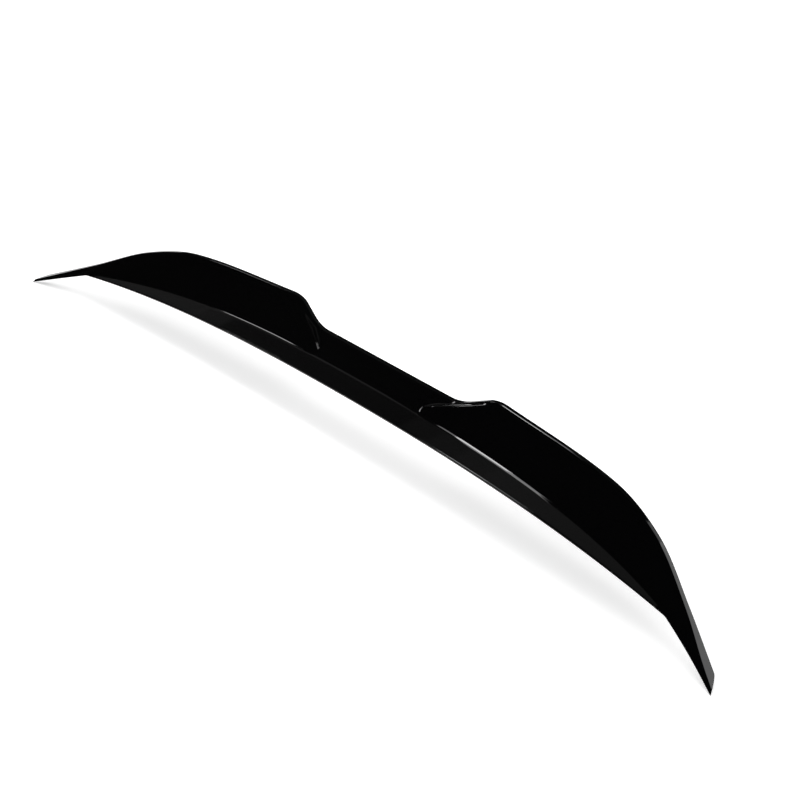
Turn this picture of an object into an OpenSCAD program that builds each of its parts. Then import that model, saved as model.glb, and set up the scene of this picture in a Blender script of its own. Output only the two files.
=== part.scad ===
// Lip spoiler for the rear edge of a boot lid: one moulded shell with a low middle and two raised wings.
// X runs across the car, +Y to the rear and +Z up. The origin is the middle of the leading edge, on the lid.
// A section's lines are depths behind, and heights above, the leading edge at the same x.

/* [Span] */
// Width across the two pointed tips
span = 1150; // [1120:5:1200]
// Length of each tip beyond the corner where the flange band runs out
tip_length = 85; // [75:5:100]
// Half width at which each wing's inner edge grows out of the blade
foot_x = 88; // [70:1:100]
// Half width at which the trailing edge starts to climb to a wing
step_x = 118; // [110:1:135]
// Half width of a wing's inner top corner
wing_x = 166; // [155:1:190]
// Half width of the point where a wing starts to fall
crest_x = 350; // [300:5:370]
// Half width of a wing's shoulder
shoulder_x = 430; // [410:5:450]
// Length over which each tip's slanting end is cut
tip_cut = 13; // [8:1:18]

/* [Leading edge] */
// How far forward of its middle the leading edge lies at the band's corners
lead_sweep = 8; // [2:1:20]
// How far below its middle the leading edge lies at the band's corners
lead_drop = 28; // [18:1:34]
// How far a tip reaches forward of its band corner
tip_sweep = 24; // [16:1:30]
// How far a tip hangs below its band corner
tip_drop = 30; // [26:1:38]
// Rearward bow of the edge between a band corner and its tip
tip_bow = 1.5; // [0:0.25:3]
// Height of the upright rim along the leading edge
rim = 2; // [1.5:0.1:2.6]
// Height of that rim along the tips
tip_rim = 0.5; // [0.4:0.05:0.7]

/* [Flange band] */
// Depth of the flange band at the middle
band_depth = 27.5; // [20:0.5:30]
// Rise of the flange band from the lid to the crease
band_rise = 6; // [4.5:0.5:9]
// Depth of the bevel that the band leaves along a tip
bevel_depth = 1.2; // [0.9:0.1:2]
// Width over which the crease between band and blade is rounded
crease_round = 5; // [3:0.5:6]

/* [Middle section] */
// Depth of the trailing edge behind the leading edge
middle_depth = 59.5; // [54:0.5:64]
// Height of the trailing edge above the leading edge
middle_height = 20; // [16:0.2:24]
// Distance of the wings' feet behind the leading edge
foot_depth = 35; // [33:0.5:38]
// Height by which a wing's face stands over the blade beside its foot
foot_step = 3; // [1.5:0.25:4]

/* [Wings] */
// Depth of the inner top corner behind the middle's trailing edge
wing_depth = 9.9; // [5.5:0.1:13.5]
// Height of the inner top corner above the middle's trailing edge
wing_height = 17.5; // [11:0.5:24]
// Depth behind the origin where the wing starts to fall
crest_depth = 56.1; // [52:0.2:60]
// Height above the origin where the wing starts to fall
crest_height = 27.6; // [22:0.2:33]
// Depth at the shoulder
shoulder_depth = 40; // [36:0.2:44]
// Height at the shoulder
shoulder_height = 8.7; // [4:0.2:12]
// Depth just outside the band's corner
hip_depth = 12.4; // [10:0.2:15]
// Height just outside the band's corner
hip_height = -22; // [-23.4:0.2:-20]
// Depth where the tip's slanting end starts
end_depth = -15.6; // [-17:0.2:-13]
// Height where the tip's slanting end starts
end_height = -48; // [-48.8:0.2:-47]
// Hollow of the blade below a straight line from crease to edge
blade_sag = 1.5; // [0:0.1:2.5]

/* [Trailing edge] */
// Width of the narrow land on top of the trailing edge
edge_land = 4.5; // [3.5:0.1:6]
// Width of that land along the tips
tip_land = 8.4; // [7:0.1:9]
// Rise of the land towards the rear, as a slope
edge_slope = 0.08; // [0:0.01:0.15]
// Rise of the land along the tips, as a slope
tip_slope = 0.22; // [0.14:0.01:0.26]
// Part of the land's width that each of its two edges rounds off
land_round = 0.45; // [0.3:0.01:0.45]
// That part along the tips, where the land has a flat middle
tip_land_round = 0.3; // [0.2:0.01:0.4]
// Forward lean of the rear face from upright, in degrees
rear_lean = 14; // [8:1:20]
// Hollow of the rear face at the wings
rear_sag = 1.6; // [0:0.1:2.5]

/* [Shell] */
// Wall thickness of the moulding
wall = 3; // [2:0.1:3.5]
// Width of the front bonding land under the flange band
front_land = 15; // [10:0.5:18]
// Width of the rear bonding flange, which turns inwards at the foot of the rear face
rear_flange = 14; // [9:0.5:16]
// Fall of the lid from the leading edge to the rear flange, as a slope
lid_fall = 0.08; // [0.04:0.01:0.12]
// Distance inside the band's corners at which the hollow underside starts to close
hollow_margin = 64; // [50:2:100]
// Length over which it closes
hollow_run = 56; // [45:1:64]

/* [Hidden] */

half_span = span / 2;
band_x = half_span - tip_length;
cut_x = half_span - tip_cut;
// Row of the wing's edge line just outside the band's corner
hip_run = 10;
hip_x = band_x + hip_run;
// Inner top corner of a wing, from the origin
corner_depth = middle_depth + wing_depth;
corner_height = middle_height + wing_height;
// Powers of the half width: how late the edge sweeps forward, drops, and loses its band
sweep_power = 4;
drop_power = 2.2;
band_power = 3.6;
// Lean of the rim, the depth of a section below which the rim shrinks with it, and how far a tip's crease
// stands above its rim
rim_lean = 0.3;
rim_run_out = 1.5;
tip_bevel_rise = 0.45;
// Part of a wing's inner edge over which its foot's step grows to full height
foot_run = 0.15;
// Part of a ramp's length over which each of its two corners is rounded
ramp_round = 0.3;
// Part of the way from a wing's inner edge to its ridge at which the valley between them lies
valley_at = 0.4;
// Reach of the close sections, and of a wing's own edge line, past the ends of the climb
climb_margin = 9;
// Step of the rounding points on either side of an edge, and the blade length below which it shrinks
edge_round = 1.6;
full_blade = 16;
// Cut at the inner corners of the shell
corner_cut = 1;
// Where the six corners of the hollow end up on a closed underside, as parts of its depth
closed_at = [0.86, 0.80, 0.74, 0.56, 0.34, 0.22];
// Slanting end of a tip: how bowed its line is, how much depth its last section keeps, and how much of the
// depth kept at a section may lie before the crease and before the ridge
cut_power = 1.3;
tip_kept = 0.1;
before_crease = 0.45;
before_ridge = 0.75;
cut_rings = 6;
gloss_black = [0.05, 0.05, 0.055];

// Wing edge from its inner corner to the cut of the tip, as [x, depth, height] from the origin
wing_line = [
    [wing_x, corner_depth, corner_height],
    [crest_x, crest_depth, crest_height],
    [shoulder_x, shoulder_depth, shoulder_height],
    [hip_x, hip_depth, hip_height],
    [cut_x, end_depth, end_height]
];

// Stretches of the half width, each with its start and its number of sections, and the tip's rings
stretches = [
    [0, 4], [foot_x - climb_margin, 22], [wing_x + climb_margin, 9], [crest_x, 14], [hip_x, 6], [cut_x, 0]
];
half_stations = concat(
    [for (i = [0 : len(stretches) - 2], j = [0 : stretches[i][1] - 1])
        mix(stretches[i][0], stretches[i + 1][0], j / stretches[i][1])],
    [for (i = [0 : cut_rings]) cut_x + tip_cut * sin(90 * i / cut_rings)]
);
last = len(half_stations) - 1;
stations = concat([for (i = [last : -1 : 1]) -half_stations[i]], half_stations);

function mix(a, b, t) = a + (b - a) * t;
function clamp01(t) = min(max(t, 0), 1);
function eased(t) = let(c = clamp01(t)) c * c * (3 - 2 * c);

// Ramp from 0 to 1 with two rounded corners
function ramp(t) =
    let(k = ramp_round)
    t <= -k ? 0 :
    t < k ? pow(t + k, 2) / (4 * k) :
    t < 1 - k ? t :
    t < 1 + k ? 1 - pow(1 + k - t, 2) / (4 * k) : 1;

// Point at distance d from a towards b, and the share that the line a-b has of a whole length
function along(a, b, d) = a + (b - a) * d / norm(b - a);
function share(a, b, whole) = min(1, norm(b - a) / whole);

// Left-hand normal of the line from a to b
function left_normal(a, b) = let(d = (b - a) / norm(b - a)) [-d.y, d.x];

// Corner b of the line a-b-c moved to its right by the wall's thickness
function inside_corner(a, b, c, thick) =
    let(n = -left_normal(a, b), m = -left_normal(b, c)) b + (n + m) * thick / (1 + n * m);

// Smooth curve through the middles of a control line's legs, starting and ending at its ends
function smooth(p, steps) = concat(
    [p[0]],
    [for (i = [1 : len(p) - 2], j = [0 : steps - 1])
        let(t = j / steps, a = (p[i - 1] + p[i]) / 2, b = (p[i] + p[i + 1]) / 2)
        mix(mix(a, p[i], t), mix(p[i], b, t), t)],
    [(p[len(p) - 2] + p[len(p) - 1]) / 2, p[len(p) - 1]]
);

// Value of column k of a list of rows at x, on cubic curves with the slopes of each row's neighbours
function row_at(rows, x) =
    let(inner = [for (i = [1 : len(rows) - 2]) if (x >= rows[i][0]) i]) len(inner) == 0 ? 0 : max(inner);
function slope_at(rows, i, k) =
    let(a = max(i - 1, 0), b = min(i + 1, len(rows) - 1))
    (rows[b][k] - rows[a][k]) / (rows[b][0] - rows[a][0]);
function curve_at(rows, x, k) =
    let(
        i = row_at(rows, x),
        h = rows[i + 1][0] - rows[i][0],
        t = (x - rows[i][0]) / h,
        from = rows[i][k] * (1 + 2 * t) + h * slope_at(rows, i, k) * t,
        to = rows[i + 1][k] * (3 - 2 * t) - h * slope_at(rows, i + 1, k) * (1 - t)
    )
    from * pow(1 - t, 2) + to * pow(t, 2);

// Leading edge: bowed across the lid, then running forward and down to the tip
function lead(x) =
    let(u = min(x, band_x) / band_x, t = max(x - band_x, 0) / tip_length)
    [-lead_sweep * pow(u, sweep_power) - tip_sweep * t + 4 * tip_bow * t * (1 - t),
     -lead_drop * pow(u, drop_power) - tip_drop * t];

// How much of the flange band is left at x: 1 at the middle, 0 from the band's corner outwards
function band_left(x) = 1 - pow(min(x, band_x) / band_x, band_power);

// Lines of a section's top, as [depth, height] from the leading edge, with the tip not yet cut: leading edge,
// crease, ridge and trailing edge. The land between the last two tilts up and widens towards the tip.
function climb(x) = ramp((x - step_x) / (wing_x - step_x));
function tilted(x) = eased((x - shoulder_x) / (band_x - shoulder_x));
function whole_top(x) =
    let(
        left = band_left(x), c = climb(x), wx = max(x, wing_x - climb_margin),
        front = [mix(bevel_depth, band_depth, left), mix(tip_rim + tip_bevel_rise, band_rise, left)],
        depth = mix(middle_depth, curve_at(wing_line, wx, 1), c),
        height = mix(middle_height, curve_at(wing_line, wx, 2), c),
        back = [depth, height] - lead(x),
        land = mix(edge_land, tip_land, eased((x - band_x) / (cut_x - band_x))),
        slope = mix(edge_slope, tip_slope, tilted(x))
    )
    [[0, 0], front, back - land * [1, slope], back];

// A corner of the top, moved forward along it where a tip's slanting end leaves less depth
function cut_top(x, corner, most) =
    let(
        top = whole_top(x),
        t = clamp01((x - cut_x) / tip_cut),
        kept = mix(tip_kept, 1, pow(1 - pow(t, cut_power), 1 / cut_power)),
        depth = min(top[corner].x, most * kept * top[3].x),
        i = max([for (k = [0 : 2]) if (k == 0 || depth >= top[k].x) k])
    )
    x <= cut_x ? top[corner] : mix(top[i], top[i + 1], (depth - top[i].x) / (top[i + 1].x - top[i].x));
function crease(x) = cut_top(x, 1, before_crease);
function ridge(x) = cut_top(x, 2, before_ridge);
function trailing(x) = cut_top(x, 3, 1);
function rim_top(x) = [rim_lean, mix(tip_rim, rim, band_left(x))] * clamp01(trailing(x).x / rim_run_out);
function rear_foot(x) =
    let(t = trailing(x), depth = (t.x - tan(rear_lean) * t.y) / (1 + tan(rear_lean) * lid_fall))
    [depth, -lid_fall * depth];

// Point on a section's blade at a depth
function on_blade(x, depth) = let(c = crease(x), r = ridge(x)) mix(c, r, (depth - c.x) / (r.x - c.x));

// Inner edge of a wing: along the blade, then diagonally up to the wing's top corner, then along the ridge
function wing_edge(x) =
    let(c = crease(x), r = ridge(x), t = (x - foot_x) / (wing_x - foot_x))
    x <= foot_x ? on_blade(x, foot_depth) :
    x < wing_x ?
        let(end = along(ridge(wing_x), crease(wing_x), 3 * edge_round))
        mix(on_blade(foot_x, foot_depth), end, t) + [0, foot_step * min(t / foot_run, 1) * (1 - t)] :
    along(r, c, 3 * edge_round * share(c, r, full_blade));

// Valley beside that edge, which runs out at the trailing edge
function wing_valley(x) =
    let(
        c = crease(x), r = ridge(x),
        run = clamp01((x - foot_x) / (step_x - foot_x)),
        low = on_blade(x, mix(foot_depth + 2 * edge_round, r.x - 2 * edge_round, run)),
        high = mix(wing_edge(x), r, valley_at)
    )
    x < wing_x ? mix(low, high, climb(x)) : along(r, c, 2 * edge_round * share(c, r, full_blade));

// Outer half of a section, from the underside of the leading edge over the top to the rear foot
function outer_line(x) =
    let(
        c = crease(x), r = ridge(x), t = trailing(x), f = rear_foot(x), top = rim_top(x),
        e = wing_edge(x), v = wing_valley(x),
        step = edge_round * share(c, r, full_blade),
        sag = blade_sag * clamp01(norm(e - c) / full_blade - 1) * band_left(x),
        hollow = rear_sag * norm(t - f) / corner_height,
        rounded = mix(land_round, tip_land_round, tilted(x))
    )
    [
        [0, 0], top, along(top, c, edge_round * share(top, c, 3 * edge_round)),
        along(c, top, crease_round * share(top, c, band_depth)), c,
        along(c, e, min(crease_round, norm(e - c) / 3)), (c + e) / 2 - sag * left_normal(c, e), e,
        v, along(r, v, step), r, mix(r, t, rounded), mix(t, r, rounded),
        t, along(t, f, step), (t + f) / 2 - [hollow, 0], along(f, t, step), f
    ];

// A line with each inner corner cut off at distance d, or a third of the leg where that is shorter
function chamfered(p, d) = concat(
    [p[0]],
    [for (i = [1 : len(p) - 2], j = [i - 1, i + 1]) along(p[i], p[j], min(d, norm(p[j] - p[i]) / 3))],
    [p[len(p) - 1]]
);

// How open the hollow underside is at x
function hollow_at(x) = 1 - ramp((x - band_x + hollow_margin) / hollow_run);

// Inner half of a section, from the rear foot round the hollow back to the leading edge.
// As the hollow closes, its rear flange runs out first, and then its corners sink to the underside.
function inner_line(x) =
    let(
        c = crease(x), r = ridge(x), t = trailing(x), f = rear_foot(x), open = hollow_at(x),
        apex = (r + t) / 2,
        lid = [1, -lid_fall],
        left = clamp01(2 * open - 1),
        in_flange = (f.x - mix(wall / 2, min(rear_flange, f.x / 3), left)) * lid,
        hollow_line = [
            in_flange, in_flange + [0, wall * mix(1 / 3, 1, left)], along(f, t, wall) - [wall, 0],
            inside_corner(c, apex, f, wall), inside_corner(rim_top(x), c, apex, wall),
            min(front_land, c.x / 2) * lid
        ]
    )
    [for (i = [0 : len(hollow_line) - 1]) mix(closed_at[i] * f.x * lid, hollow_line[i], open)];

// A list without its first and last entries
function inside_of(list) = [for (i = [1 : len(list) - 2]) list[i]];

// A whole section at x
function section(x) =
    let(u = abs(x), edge = lead(u), inner = concat([rear_foot(u)], inner_line(u), [[0, 0]]))
    [for (p = concat(smooth(outer_line(u), 2), inside_of(chamfered(inner, corner_cut))))
        [x, edge.x + p.x, edge.y + p.y]];

// Closed skin over a row of sections that all have the same number of points
module skin(sections) {
    n = len(sections[0]);
    rows = len(sections);
    sides = [for (i = [0 : rows - 2], j = [0 : n - 1], half = [0, 1])
        let(k = (j + 1) % n)
        half == 0 ? [i * n + j, i * n + k, (i + 1) * n + k] : [i * n + j, (i + 1) * n + k, (i + 1) * n + j]];
    first_cap = [for (j = [n - 1 : -1 : 0]) j];
    last_cap = [for (j = [0 : n - 1]) (rows - 1) * n + j];
    polyhedron(points = [for (s = sections, p = s) p], faces = concat(sides, [first_cap, last_cap]));
}

module spoiler_body() {
    color(gloss_black) skin([for (x = stations) section(x)]);
}

spoiler_body();
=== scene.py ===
import math

import bpy
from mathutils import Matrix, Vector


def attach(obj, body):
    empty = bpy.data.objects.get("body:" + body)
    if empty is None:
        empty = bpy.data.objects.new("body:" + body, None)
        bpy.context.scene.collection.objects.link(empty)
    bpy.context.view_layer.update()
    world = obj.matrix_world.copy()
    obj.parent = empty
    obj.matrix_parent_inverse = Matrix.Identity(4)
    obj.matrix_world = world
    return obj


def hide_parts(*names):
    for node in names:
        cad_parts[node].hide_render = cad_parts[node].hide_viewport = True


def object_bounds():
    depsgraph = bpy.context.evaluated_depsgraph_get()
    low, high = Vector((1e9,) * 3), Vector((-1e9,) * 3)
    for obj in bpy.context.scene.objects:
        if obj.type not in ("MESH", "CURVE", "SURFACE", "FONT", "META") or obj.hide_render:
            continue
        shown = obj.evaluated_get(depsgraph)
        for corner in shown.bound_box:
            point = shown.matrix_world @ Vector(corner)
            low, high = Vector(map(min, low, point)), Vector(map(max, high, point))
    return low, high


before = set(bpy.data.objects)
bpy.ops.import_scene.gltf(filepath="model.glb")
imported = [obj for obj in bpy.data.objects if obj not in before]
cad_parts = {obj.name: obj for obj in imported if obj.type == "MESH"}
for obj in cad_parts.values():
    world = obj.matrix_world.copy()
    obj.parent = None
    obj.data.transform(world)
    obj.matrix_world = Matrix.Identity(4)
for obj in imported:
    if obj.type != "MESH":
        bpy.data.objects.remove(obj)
cad_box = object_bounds()


# Spoiler body
# One moulding in gloss black ABS: a flange band along the front, a low middle, two raised wings and two
# pointed tips that wrap the lid's corners. It is an open shell with a 3 mm wall, polished outside and
# plain inside, and is bonded to the lid along a front land and a flange at the foot of its rear face.
# Its ribs are cut across the car. A point of a rib is depth + height * 1j from the leading edge, in mm.
MM_PER_M = 1000

# Half widths of the features, from the middle outwards
WING_FOOT = 88
CLIMB_START = 118
WING_CORNER = 166
CREST = 350
SHOULDER = 430
BAND_END = 490
HIP = 500
CUT_START = 562
TIP = 575

# Leading edge: how far it lies forward and low at the band's ends, and each tip beyond that
LEAD_SWEEP, LEAD_DROP = 8, 28
TIP_SWEEP, TIP_DROP = 24, 30
TIP_BOW = 1.5
SWEEP_POWER, DROP_POWER, BAND_POWER = 4, 2.2, 3.6
RIM, TIP_RIM = 2, 0.5
RIM_LEAN = 0.3
RIM_RUN_OUT = 1.5

# Crease between flange band and blade, in the middle and along the tips
BAND_CREASE = 27.5 + 6j
TIP_CREASE = 1.2 + 0.95j
CREASE_ROUND = 5

# Trailing edge, and the wings' part of it from the inner corner to the cut of the tip, from the origin
MIDDLE_EDGE = 59.5 + 20j
WING_EDGE = [
    (WING_CORNER, 69.4 + 37.5j), (CREST, 56.1 + 27.6j), (SHOULDER, 40 + 8.7j), (HIP, 12.4 - 22j),
    (CUT_START, -15.6 - 48j),
]
CLIMB_MARGIN = 9
EDGE_LAND, TIP_LAND = 4.5, 8.4
EDGE_SLOPE, TIP_SLOPE = 0.08, 0.22
LAND_ROUND, TIP_LAND_ROUND = 0.45, 0.3

# Wing's inner edge, rising from a small step at its foot
FOOT_DEPTH = 35
FOOT_STEP = 3
FOOT_RUN = 0.15
VALLEY_AT = 0.4

# Rounding of the edges, and the slight hollows of the blade and the rear face
EDGE_ROUND = 1.6
FULL_BLADE = 16
BLADE_SAG = 1.5
REAR_SAG = 1.6
WING_REAR = 39
REAR_LEAN = math.tan(math.radians(14))

# Slanting end of a tip, with the parts of its depth that may lie before the crease and before the ridge
CUT_POWER = 1.3
BEFORE_CREASE, BEFORE_RIDGE = 0.45, 0.75
LAST_RIB = TIP - 0.002

# Shell, the fall of the lid it stands on, and where the hollow's corners end up where it has closed
WALL = 3
FRONT_LAND = 15
REAR_FLANGE = 14
INNER_CUT = 1
LID = 1 - 0.08j
HOLLOW_MARGIN, HOLLOW_RUN = 64, 56
CLOSED_AT = [0.86, 0.80, 0.74, 0.56, 0.34, 0.22]


def mix(a, b, t):
    return a + (b - a) * t


def part_of(t):
    return min(max(t, 0), 1)


def eased_part(t):
    t = part_of(t)
    return t * t * (3 - 2 * t)


def ramp(t, corner=0.3):
    """Ramp from 0 to 1 with both corners rounded."""
    if t < corner:
        return max(t + corner, 0) ** 2 / (4 * corner)
    if t > 1 - corner:
        return 1 - max(1 + corner - t, 0) ** 2 / (4 * corner)
    return t


def along(a, b, distance):
    """Point at a distance from a towards b."""
    return a + (b - a) * distance / abs(b - a)


def share(a, b, whole):
    """Part of a whole length that the line from a to b has, 1 at most."""
    return min(1, abs(b - a) / whole)


def wing_line(x):
    """Smooth line through the rows of WING_EDGE, with the slope at each row set by its neighbours."""
    last = len(WING_EDGE) - 1
    i = max(k for k in range(last) if k == 0 or x >= WING_EDGE[k][0])
    slopes = []
    for k in (i, i + 1):
        before, after = WING_EDGE[max(k - 1, 0)], WING_EDGE[min(k + 1, last)]
        slopes.append((after[1] - before[1]) / (after[0] - before[0]))
    run = WING_EDGE[i + 1][0] - WING_EDGE[i][0]
    t = (x - WING_EDGE[i][0]) / run
    start = WING_EDGE[i][1] * (1 + 2 * t) + run * slopes[0] * t
    end = WING_EDGE[i + 1][1] * (3 - 2 * t) - run * slopes[1] * (1 - t)
    return start * (1 - t) ** 2 + end * t ** 2


def leading_edge(x):
    """Bowed over the lid, then running forward and down to the tip."""
    u = min(x, BAND_END) / BAND_END
    t = max(x - BAND_END, 0) / (TIP - BAND_END)
    forward = LEAD_SWEEP * u ** SWEEP_POWER + TIP_SWEEP * t - 4 * TIP_BOW * t * (1 - t)
    down = LEAD_DROP * u ** DROP_POWER + TIP_DROP * t
    return -forward - 1j * down


def band_left(x):
    """How much of the flange band is left, from 1 at the middle to 0 at its end."""
    return 1 - (min(x, BAND_END) / BAND_END) ** BAND_POWER


def climb(x):
    """How far the trailing edge has climbed from the middle, 0, to a wing, 1."""
    return ramp((x - CLIMB_START) / (WING_CORNER - CLIMB_START))


def tilted(x):
    """How far the land has turned from its place on the wings, 0, to its place along a tip, 1."""
    return eased_part((x - SHOULDER) / (BAND_END - SHOULDER))


def whole_top(x):
    """Leading edge, crease, ridge and trailing edge, with the tip not yet cut. The narrow land between the
    last two tilts up beyond the shoulder and widens along the tip."""
    front = mix(TIP_CREASE, BAND_CREASE, band_left(x))
    back = mix(MIDDLE_EDGE, wing_line(max(x, WING_CORNER - CLIMB_MARGIN)), climb(x)) - leading_edge(x)
    land = mix(EDGE_LAND, TIP_LAND, eased_part((x - BAND_END) / (CUT_START - BAND_END)))
    slope = mix(EDGE_SLOPE, TIP_SLOPE, tilted(x))
    return [0j, front, back - land * (1 + 1j * slope), back]


def cut_top(x, corner, most):
    """Corner of the top, moved forward along it where the tip's slanting end leaves less depth. The corner
    keeps at most the given part of that depth."""
    top = whole_top(x)
    if x <= CUT_START:
        return top[corner]
    kept = (1 - ((x - CUT_START) / (TIP - CUT_START)) ** CUT_POWER) ** (1 / CUT_POWER)
    depth = min(top[corner].real, most * kept * top[-1].real)
    i = max(k for k in range(3) if k == 0 or depth >= top[k].real)
    return mix(top[i], top[i + 1], (depth - top[i].real) / (top[i + 1].real - top[i].real))


def crease(x):
    return cut_top(x, 1, BEFORE_CREASE)


def ridge(x):
    return cut_top(x, 2, BEFORE_RIDGE)


def trailing_edge(x):
    return cut_top(x, 3, 1)


def rim(x):
    """Top of the upright rim along the leading edge."""
    height = mix(TIP_RIM, RIM, band_left(x))
    return (RIM_LEAN + 1j * height) * part_of(trailing_edge(x).real / RIM_RUN_OUT)


def rear_foot(x):
    """Where the leaning rear face meets the lid."""
    edge = trailing_edge(x)
    return (edge.real - REAR_LEAN * edge.imag) / (1 - REAR_LEAN * LID.imag) * LID


def on_blade(x, depth):
    """Point of the straight blade from crease to ridge at a depth."""
    front, top = crease(x), ridge(x)
    return mix(front, top, (depth - front.real) / (top.real - front.real))


def sagged(a, b, x):
    """Middle of a blade from a to b, a little below the straight line."""
    sag = BLADE_SAG * part_of(abs(b - a) / FULL_BLADE - 1) * band_left(x)
    return (a + b) / 2 - 1j * sag * (b - a) / abs(b - a)


def before_ridge(x, distance):
    """Point of the blade at a distance before the ridge."""
    front, top = crease(x), ridge(x)
    return along(top, sagged(front, top, x), distance * share(front, top, FULL_BLADE))


def wing_side(x):
    """Inner edge of a wing, from its foot on the blade diagonally up to its top corner, and its valley."""
    if x >= WING_CORNER:
        return before_ridge(x, 3 * EDGE_ROUND), before_ridge(x, 2 * EDGE_ROUND)
    foot = on_blade(min(x, WING_FOOT), FOOT_DEPTH)
    climbed = part_of((x - WING_FOOT) / (WING_CORNER - WING_FOOT))
    edge = mix(foot, before_ridge(WING_CORNER, 3 * EDGE_ROUND), climbed)
    edge += 1j * FOOT_STEP * min(climbed / FOOT_RUN, 1) * (1 - climbed)
    run = part_of((x - WING_FOOT) / (CLIMB_START - WING_FOOT))
    low = on_blade(x, mix(FOOT_DEPTH + 2 * EDGE_ROUND, ridge(x).real - 2 * EDGE_ROUND, run))
    return edge, mix(low, mix(edge, ridge(x), VALLEY_AT), climb(x))


def show_side(x):
    """Feature points from under the leading edge, over the top, down to the rear foot."""
    front, top, back, foot = crease(x), ridge(x), trailing_edge(x), rear_foot(x)
    edge, valley = wing_side(x)
    step = EDGE_ROUND * share(front, top, FULL_BLADE)
    hollow = REAR_SAG * abs(back - foot) / WING_REAR
    rounded = mix(LAND_ROUND, TIP_LAND_ROUND, tilted(x))
    return [
        0j, rim(x), along(rim(x), front, EDGE_ROUND * share(rim(x), front, 3 * EDGE_ROUND)),
        along(front, rim(x), CREASE_ROUND * share(rim(x), front, BAND_CREASE.real)), front,
        along(front, edge, min(CREASE_ROUND, abs(edge - front) / 3)), sagged(front, edge, x), edge,
        valley, along(top, valley, step), top, mix(top, back, rounded), mix(back, top, rounded),
        back, along(back, foot, step), (back + foot) / 2 - hollow, along(foot, back, step), foot,
    ]


def inside_corner(a, b, c):
    """Corner b of the line from a over b to c, moved inwards by the wall."""
    n = -1j * (b - a) / abs(b - a)
    m = -1j * (c - b) / abs(c - b)
    return b + (n + m) * WALL / (1 + (n * m.conjugate()).real)


def blind_side(x):
    """Feature points from the rear foot round the hollow to the front land. It closes before the tips."""
    front, top, back, foot = crease(x), ridge(x), trailing_edge(x), rear_foot(x)
    opened = 1 - ramp((x - BAND_END + HOLLOW_MARGIN) / HOLLOW_RUN)
    flange_left = part_of(2 * opened - 1)
    flange = (foot.real - mix(WALL / 2, min(REAR_FLANGE, foot.real / 3), flange_left)) * LID
    apex = (top + back) / 2
    corners = [
        flange, flange + 1j * WALL * mix(1 / 3, 1, flange_left), along(foot, back, WALL) - WALL,
        inside_corner(front, apex, foot), inside_corner(rim(x), front, apex),
        min(FRONT_LAND, front.real / 2) * LID,
    ]
    return [mix(share_of * foot.real * LID, corner, opened) for share_of, corner in zip(CLOSED_AT, corners)]


def with_cut_corners(points, cut):
    """The line with each of its inner corners made two points, a short way before and after it."""
    line = [points[0]]
    for before, corner, after in zip(points, points[1:], points[2:]):
        line.append(along(corner, before, min(cut, abs(before - corner) / 3)))
        line.append(along(corner, after, min(cut, abs(after - corner) / 3)))
    return line + [points[-1]]


def rib(x):
    """Closed rib at x, in metres."""
    half = min(abs(x), LAST_RIB)
    *show, foot = show_side(half)
    outline = show + with_cut_corners([foot] + blind_side(half) + [0j], INNER_CUT)
    points = [leading_edge(half) + p for p in outline]
    return [(x / MM_PER_M, p.real / MM_PER_M, p.imag / MM_PER_M) for p in points]


def half_stations():
    """Half widths of the ribs, close together at the climb to a wing and towards the tip. A stretch has its
    start and its number of ribs."""
    stretches = [(0, 8), (70, 64), (186, 40), (410, 44), (530, 20), (CUT_START, 0)]
    cut_ribs = 16
    for (start, count), (end, _) in zip(stretches, stretches[1:]):
        yield from (mix(start, end, i / count) for i in range(count))
    yield from (mix(CUT_START, TIP, math.sin(math.radians(90 * i / cut_ribs))) for i in range(cut_ribs + 1))


right_half = list(half_stations())
stations = [-x for x in reversed(right_half[1:])] + right_half

rib_curves = bpy.data.curves.new("spoiler_ribs", "CURVE")
rib_curves.dimensions = "3D"
for x in stations:
    points = rib(x)
    spline = rib_curves.splines.new("NURBS")
    spline.points.add(len(points) - 1)
    for target, place in zip(spline.points, points):
        target.co = (*place, 1)
    spline.order_u = 3
    spline.use_endpoint_u = True
ribs = bpy.data.objects.new("spoiler_ribs", rib_curves)
bpy.context.scene.collection.objects.link(ribs)


# Polished outside: deep black, with the faint waviness that a moulding's surface has
gloss_black = bpy.data.materials.new("gloss_black_abs")
gloss_black.use_nodes = True
nodes, links = gloss_black.node_tree.nodes, gloss_black.node_tree.links
shader = nodes["Principled BSDF"]
shader.inputs["Base Color"].default_value = (0.0008, 0.0008, 0.0009, 1)
shader.inputs["Roughness"].default_value = 0.04
shader.inputs["IOR"].default_value = 1.5
place = nodes.new("ShaderNodeTexCoord")
waves = nodes.new("ShaderNodeTexNoise")
waves.inputs["Scale"].default_value = 90
waves.inputs["Detail"].default_value = 2
links.new(place.outputs["Object"], waves.inputs["Vector"])
bump = nodes.new("ShaderNodeBump")
bump.inputs["Strength"].default_value = 0.2
bump.inputs["Distance"].default_value = 0.00002
links.new(waves.outputs["Fac"], bump.inputs["Height"])
links.new(bump.outputs["Normal"], shader.inputs["Normal"])

# Blind side: the mould's fine spark-eroded texture, without polish
plain_black = bpy.data.materials.new("plain_black_abs")
plain_black.use_nodes = True
nodes, links = plain_black.node_tree.nodes, plain_black.node_tree.links
shader = nodes["Principled BSDF"]
shader.inputs["Base Color"].default_value = (0.012, 0.012, 0.013, 1)
shader.inputs["Roughness"].default_value = 0.45
place = nodes.new("ShaderNodeTexCoord")
grain = nodes.new("ShaderNodeTexNoise")
grain.inputs["Scale"].default_value = 1400
grain.inputs["Detail"].default_value = 3
links.new(place.outputs["Object"], grain.inputs["Vector"])
bump = nodes.new("ShaderNodeBump")
bump.inputs["Strength"].default_value = 0.5
bump.inputs["Distance"].default_value = 0.0002
links.new(grain.outputs["Fac"], bump.inputs["Height"])
links.new(bump.outputs["Normal"], shader.inputs["Normal"])


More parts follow.
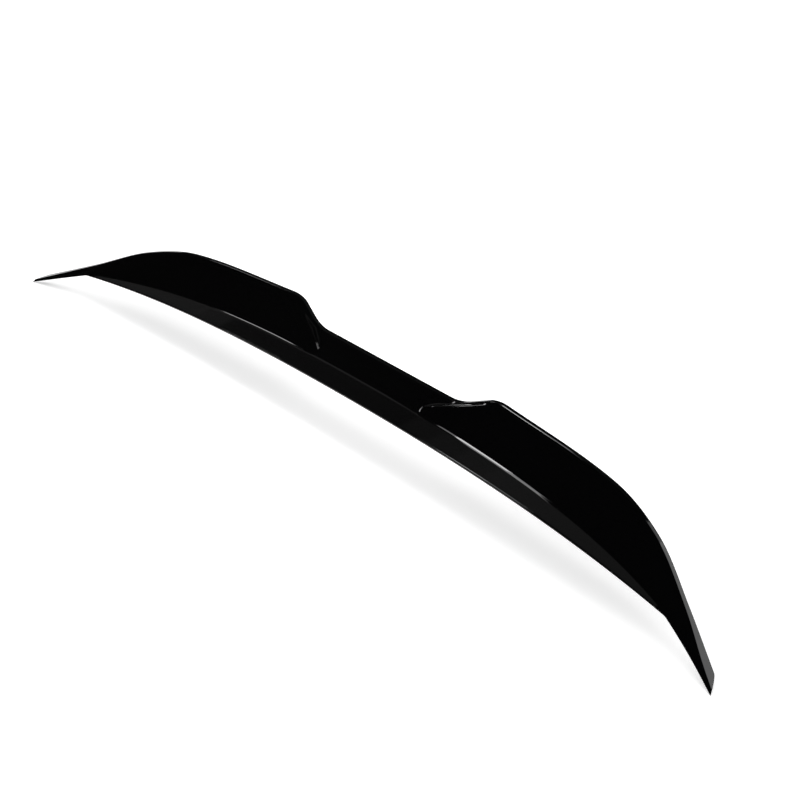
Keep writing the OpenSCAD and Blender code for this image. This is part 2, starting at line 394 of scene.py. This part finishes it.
# Skin over the ribs: each rib is traced with the same number of points, and a grid takes their places
skin = bpy.data.node_groups.new("moulded_skin", "GeometryNodeTree")
skin.is_modifier = True
socket = skin.interface.new_socket
socket("Ribs", in_out="INPUT", socket_type="NodeSocketGeometry")
steps_in = socket("Steps per feature", in_out="INPUT", socket_type="NodeSocketInt")
show_in = socket("Share of rib on show", in_out="INPUT", socket_type="NodeSocketFloat")
weld_in = socket("Weld distance", in_out="INPUT", socket_type="NodeSocketFloat")
show_finish_in = socket("Show finish", in_out="INPUT", socket_type="NodeSocketMaterial")
blind_finish_in = socket("Blind finish", in_out="INPUT", socket_type="NodeSocketMaterial")
socket("Skin", in_out="OUTPUT", socket_type="NodeSocketGeometry")


def add(kind, **settings):
    node = skin.nodes.new(kind)
    for name, value in settings.items():
        setattr(node, name, value)
    return node


def maths(operation, first, second):
    node = add("ShaderNodeMath", operation=operation)
    for value, target in zip((first, second), node.inputs):
        if isinstance(value, (int, float)):
            target.default_value = value
        else:
            skin.links.new(value, target)
    return node.outputs["Value"]


given = add("NodeGroupInput").outputs
fine = add("GeometryNodeSetSplineResolution")
skin.links.new(given["Ribs"], fine.inputs["Geometry"])
skin.links.new(given["Steps per feature"], fine.inputs["Resolution"])
traced = add("GeometryNodeCurveToPoints", mode="EVALUATED")
skin.links.new(fine.outputs["Geometry"], traced.inputs["Curve"])

count_ribs = add("GeometryNodeAttributeDomainSize", component="CURVE")
skin.links.new(given["Ribs"], count_ribs.inputs["Geometry"])
count_points = add("GeometryNodeAttributeDomainSize", component="POINTCLOUD")
skin.links.new(traced.outputs["Points"], count_points.inputs["Geometry"])
rib_points = maths("DIVIDE", count_points.outputs["Point Count"], count_ribs.outputs["Spline Count"])

grid = add("GeometryNodeMeshGrid")
skin.links.new(count_ribs.outputs["Spline Count"], grid.inputs["Vertices X"])
skin.links.new(rib_points, grid.inputs["Vertices Y"])
index = add("GeometryNodeInputIndex").outputs["Index"]
place = add("GeometryNodeInputPosition").outputs["Position"]
traced_place = add("GeometryNodeSampleIndex", data_type="FLOAT_VECTOR", domain="POINT")
skin.links.new(traced.outputs["Points"], traced_place.inputs["Geometry"])
skin.links.new(place, traced_place.inputs["Value"])
skin.links.new(index, traced_place.inputs["Index"])
laid = add("GeometryNodeSetPosition")
skin.links.new(grid.outputs["Mesh"], laid.inputs["Geometry"])
skin.links.new(traced_place.outputs["Value"], laid.inputs["Position"])

rib_faces = maths("SUBTRACT", rib_points, 1)
on_show = maths("LESS_THAN", maths("MODULO", index, rib_faces),
                maths("MULTIPLY", rib_faces, given["Share of rib on show"]))
marked = add("GeometryNodeStoreNamedAttribute", data_type="BOOLEAN", domain="FACE")
marked.inputs["Name"].default_value = "on_show"
skin.links.new(laid.outputs["Geometry"], marked.inputs["Geometry"])
skin.links.new(on_show, marked.inputs["Value"])
welded = add("GeometryNodeMergeByDistance")
skin.links.new(marked.outputs["Geometry"], welded.inputs["Geometry"])
skin.links.new(given["Weld distance"], welded.inputs["Distance"])
smooth = add("GeometryNodeSetShadeSmooth")
skin.links.new(welded.outputs["Geometry"], smooth.inputs["Geometry"])
real = add("GeometryNodeRealizeInstances")
skin.links.new(smooth.outputs["Geometry"], real.inputs["Geometry"])
plain = add("GeometryNodeSetMaterial")
skin.links.new(real.outputs["Geometry"], plain.inputs["Geometry"])
skin.links.new(given["Blind finish"], plain.inputs["Material"])
polished = add("GeometryNodeSetMaterial")
mark = add("GeometryNodeInputNamedAttribute", data_type="BOOLEAN")
mark.inputs["Name"].default_value = "on_show"
skin.links.new(plain.outputs["Geometry"], polished.inputs["Geometry"])
skin.links.new(mark.outputs["Attribute"], polished.inputs["Selection"])
skin.links.new(given["Show finish"], polished.inputs["Material"])
skin.links.new(polished.outputs["Geometry"], add("NodeGroupOutput").inputs["Skin"])

shell = ribs.modifiers.new("skin", "NODES")
shell.node_group = skin
shell[steps_in.identifier] = 6
polished_legs, all_legs = len(show_side(0)) - 1.5, len(rib(0)) - 2
shell[show_in.identifier] = polished_legs / all_legs
shell[weld_in.identifier] = 0.000002
shell[show_finish_in.identifier] = gloss_black
shell[blind_finish_in.identifier] = plain_black

bpy.context.view_layer.update()
evaluated = ribs.evaluated_get(bpy.context.evaluated_depsgraph_get())
body_mesh = bpy.data.meshes.new_from_object(evaluated)
body = bpy.data.objects.new("moulded_body", body_mesh)
bpy.context.scene.collection.objects.link(body)
bpy.data.objects.remove(ribs)
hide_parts("spoiler_body")
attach(body, "root")


# Studio
# Pale floor under the tips and a low pale wall behind, in an otherwise dark studio. Level soft boxes hang
# over it: one over the near tip, three low over the near wing for the bright lines along its ridge and its
# crease, a far one for the line along its inner edge, and a row of dim ones that the flange band reflects.

floor_z = cad_box[0][2]
floor_reach = 5
floor_corners = [(x * floor_reach, y * floor_reach, floor_z) for x, y in ((-1, -1), (1, -1), (1, 1), (-1, 1))]
floor_mesh = bpy.data.meshes.new("floor")
floor_mesh.from_pydata(floor_corners, [], [(0, 1, 2, 3)])
floor = bpy.data.objects.new("floor", floor_mesh)

wall_turn = math.radians(-70)
wall_distance, wall_half_width, wall_top = 3, 2, 0.45
wall_x, wall_y = -0.55 + wall_distance * math.sin(wall_turn), wall_distance * math.cos(wall_turn)
near_end, far_end = [
    (wall_x + side * math.cos(wall_turn), wall_y - side * math.sin(wall_turn))
    for side in (-wall_half_width, wall_half_width)
]
wall_corners = [(*near_end, floor_z), (*far_end, floor_z), (*far_end, wall_top), (*near_end, wall_top)]
wall_mesh = bpy.data.meshes.new("wall")
wall_mesh.from_pydata(wall_corners, [], [(0, 1, 2, 3)])
wall = bpy.data.objects.new("wall", wall_mesh)

# Pale colour, a little paler still where it is seen, straight or in gloss or glass, so that it shows white
pale = bpy.data.materials.new("pale_studio")
pale.use_nodes = True
nodes, links = pale.node_tree.nodes, pale.node_tree.links
shader = nodes["Principled BSDF"]
shader.inputs["Base Color"].default_value = (0.96, 0.96, 0.96, 1)
shader.inputs["Roughness"].default_value = 1
shader.inputs["Specular IOR Level"].default_value = 0
shader.inputs["Emission Color"].default_value = (1, 1, 1, 1)
ray = nodes.new("ShaderNodeLightPath")
seen = nodes.new("ShaderNodeMath")
seen.operation = "MAXIMUM"
links.new(ray.outputs["Is Camera Ray"], seen.inputs[0])
links.new(ray.outputs["Is Glossy Ray"], seen.inputs[1])
seen_through = nodes.new("ShaderNodeMath")
seen_through.operation = "MAXIMUM"
links.new(seen.outputs["Value"], seen_through.inputs[0])
links.new(ray.outputs["Is Transmission Ray"], seen_through.inputs[1])
paler = nodes.new("ShaderNodeMath")
paler.operation = "MULTIPLY"
paler.inputs[1].default_value = 0.3
links.new(seen_through.outputs["Value"], paler.inputs[0])
links.new(paler.outputs["Value"], shader.inputs["Emission Strength"])
for set_piece in (floor, wall):
    bpy.context.scene.collection.objects.link(set_piece)
    set_piece.data.materials.append(pale)

# White for the camera, even soft light on every surface, and a dark studio in the gloss
world = bpy.data.worlds.new("studio")
bpy.context.scene.world = world
world.use_nodes = True
nodes, links = world.node_tree.nodes, world.node_tree.links
background = nodes["Background"]
ray = nodes.new("ShaderNodeLightPath")
in_gloss = nodes.new("ShaderNodeMix")
in_gloss.data_type = "RGBA"
in_gloss.inputs["A"].default_value = (1, 1, 1, 1)
in_gloss.inputs["B"].default_value = (0.006, 0.006, 0.006, 1)
links.new(ray.outputs["Is Glossy Ray"], in_gloss.inputs["Factor"])
links.new(in_gloss.outputs["Result"], background.inputs["Color"])
background.inputs["Strength"].default_value = 1


def soft_box(name, place, width, depth, brightness, turn=0):
    """Level area light that faces down and shows at the given brightness in the gloss, where 1 is white."""
    lamp = bpy.data.lights.new(name, "AREA")
    lamp.shape = "RECTANGLE"
    lamp.size, lamp.size_y = width, depth
    lamp.energy = brightness * math.pi * width * depth
    box = bpy.data.objects.new(name, lamp)
    box.location = place
    box.rotation_euler = (0, 0, turn)
    box.visible_camera = False
    bpy.context.scene.collection.objects.link(box)


soft_box("box_over_near_tip", (0.325, 0.63, 1.4), 0.45, 0.64, 2.2)
soft_box("its_dim_end", (0, 0.8, 1.4), 0.2, 0.3, 1.1)
soft_box("low_box", (-0.12, 0.075, 0.4), 0.18, 0.26, 3)
soft_box("low_dim_box", (-0.23, 0, 0.4), 0.04, 0.12, 2)
soft_box("low_bright_box", (-0.145, 0.01, 0.39), 0.11, 0.13, 8)
soft_box("far_box", (-3.15, 0.03, 2.24), 0.5, 0.4, 5)

# The row that the flange band reflects runs away from the near tip. Each panel is given by its near and far
# end, its shift across the row, its depth and its brightness, and they overlap to fade along the band. Each
# hangs a little over the one before it, so that no two are in one plane.
row_slope, row_start, row_height, row_spacing = 0.19, 0.66, 1.4, 0.01
row_turn = -math.atan(row_slope)
band_row = [(-0.28, -3.1, 0, 0.42, 0.02)]
band_row += [(-0.28, far, 0, 0.42, 0.018) for far in (-1.15, -1.3, -1.45, -1.6)]
band_row += [(near, -4.9, 0, 0.5, 0.03) for near in (-2.9, -3.2)]
band_row += [(-1.5, -3.1, -0.36, 0.46, 0.13)]
for number, (near, far, shift, depth, brightness) in enumerate(band_row):
    middle = (near + far) / 2
    place = (middle, row_start - row_slope * middle + shift, row_height + number * row_spacing)
    width = (near - far) / math.cos(row_turn)
    soft_box(f"band_panel_{number}", place, width, depth, brightness, row_turn)

# Camera at the photo's angle, at the distance, shift and focal length that fit its outline
azimuth, elevation = math.radians(52.99), math.radians(25)
distance, shift_right, shift_up = 2.54887, 0.05878, -0.00497
sensor_width, focal_length = 36, 114.13
away_on_floor = (math.sin(azimuth), -math.cos(azimuth))
away = (*[c * math.cos(elevation) for c in away_on_floor], math.sin(elevation))
right = (math.cos(azimuth), math.sin(azimuth), 0)
up = (*[-c * math.sin(elevation) for c in away_on_floor], math.cos(elevation))
camera = bpy.data.objects.new("camera", bpy.data.cameras.new("camera"))
camera.data.sensor_width = sensor_width
camera.data.lens = focal_length
camera.location = [distance * a + shift_right * r + shift_up * u for a, r, u in zip(away, right, up)]
camera.rotation_euler = (math.pi / 2 - elevation, 0, azimuth)
bpy.context.scene.collection.objects.link(camera)
bpy.context.scene.camera = camera
bpy.context.scene.view_settings.view_transform = "Standard"
